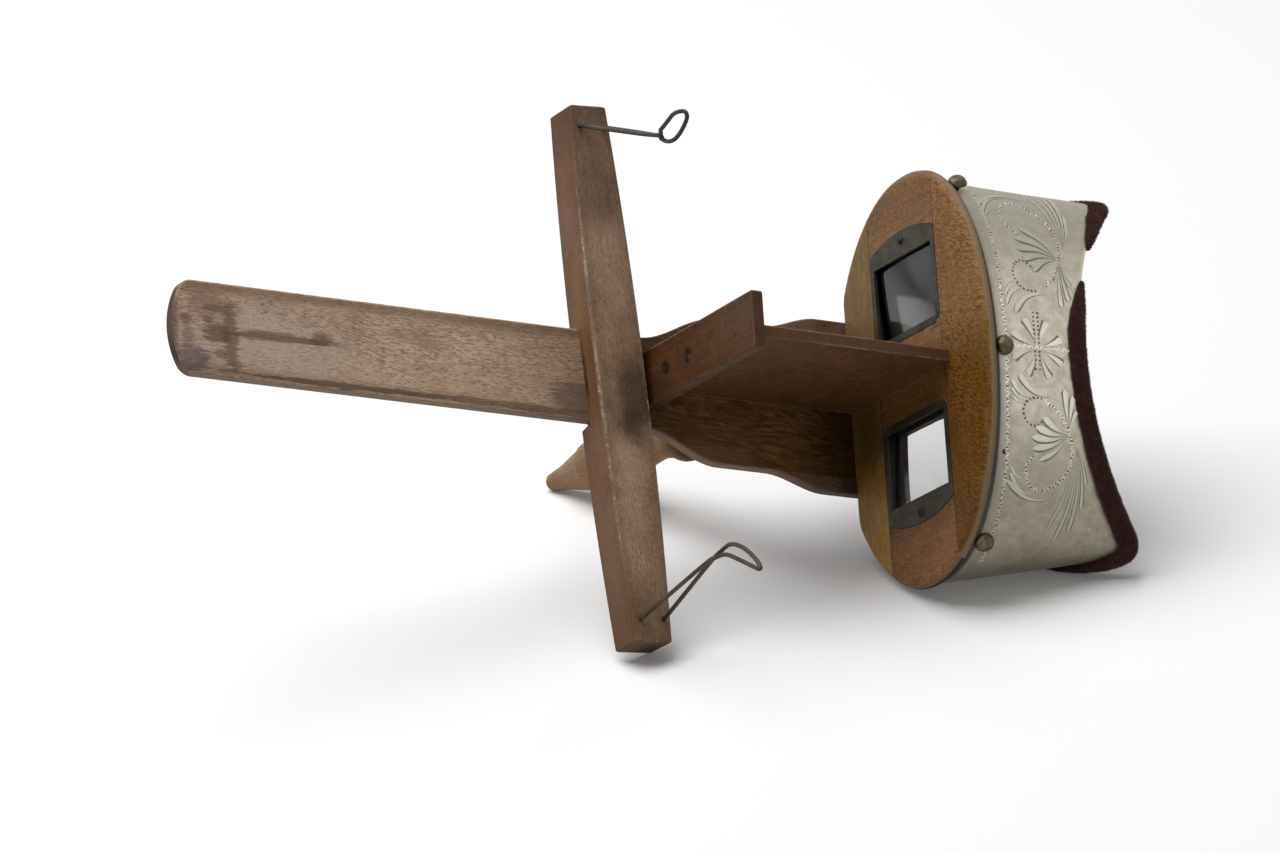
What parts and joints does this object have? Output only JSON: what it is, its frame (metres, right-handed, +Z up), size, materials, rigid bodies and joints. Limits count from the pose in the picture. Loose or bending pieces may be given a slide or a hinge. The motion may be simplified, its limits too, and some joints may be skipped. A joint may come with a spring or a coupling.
{
  "type": "handheld stereoscope",
  "caption": "Handheld card viewer: oval lens board with an engraved metal hood, a slide bar with a sliding wire-clip card holder, and a folding turned handle.",
  "frame": {"origin": "middle of the bounding box's base, on the floor that the instrument lies on", "axes": "+X along the instrument in plan, towards the hood; +Y across the floor; +Z up, with the instrument lying on its side as it was put down"},
  "size_m": [0.3444, 0.2097, 0.1753],
  "materials": {
    "bar_wood": "worn grey-brown, oiled",
    "base_wood": "dark, figured, waxed",
    "board_wood": "golden brown, varnished",
    "septum_wood": "dark reddish brown, waxed",
    "holder_wood": "brown, worn at the edges",
    "handle_wood": "light, turned and worn",
    "lens_glass": "polished",
    "dark_metal": "blackened sheet",
    "screw_steel": "tarnished",
    "hood_metal": "dull, engraved by hand",
    "nail_metal": "darkened, worn bright on the crown",
    "velvet": "worn maroon velvet",
    "clip_steel": "dark drawn wire"
  },
  "bodies": {
    "viewer": {"slide_bar": "bar_wood", "base_board": "base_wood", "lower_rail": "board_wood", "lens_panel": "board_wood", "upper_rail": "board_wood", "septum": "septum_wood", "septum_plate": "septum_wood", "plate_screws": "screw_steel", "base_screws": "screw_steel", "lens_left": "lens_glass", "lens_right": "lens_glass", "lens_frame_left": "dark_metal", "lens_frame_right": "dark_metal", "frame_screws": "screw_steel", "hood": "hood_metal", "hood_nails": "nail_metal", "hood_velvet": "velvet", "handle_bracket": "dark_metal", "bracket_screws": "screw_steel", "handle_pivot": "screw_steel"},
    "card_holder": {"crossbar": "holder_wood", "card_clip_left": "clip_steel", "card_clip_right": "clip_steel", "holder_spring": "clip_steel", "spring_screws": "screw_steel"},
    "handle": {"handle": "handle_wood"}
  },
  "joints": [
    {"name": "holder_slide", "type": "slide", "parent": "viewer", "child": "card_holder", "axis": [-0.9344, 0, 0.3563], "range_m": [-0.002, 0.146]},
    {"name": "handle_fold", "type": "hinge", "parent": "viewer", "child": "handle", "pos_m": [0.0395, 0.02786, 0.04625], "axis": [0.2887, 0.586, 0.7572], "range_deg": [-11.8, 78.2]}
  ]
}
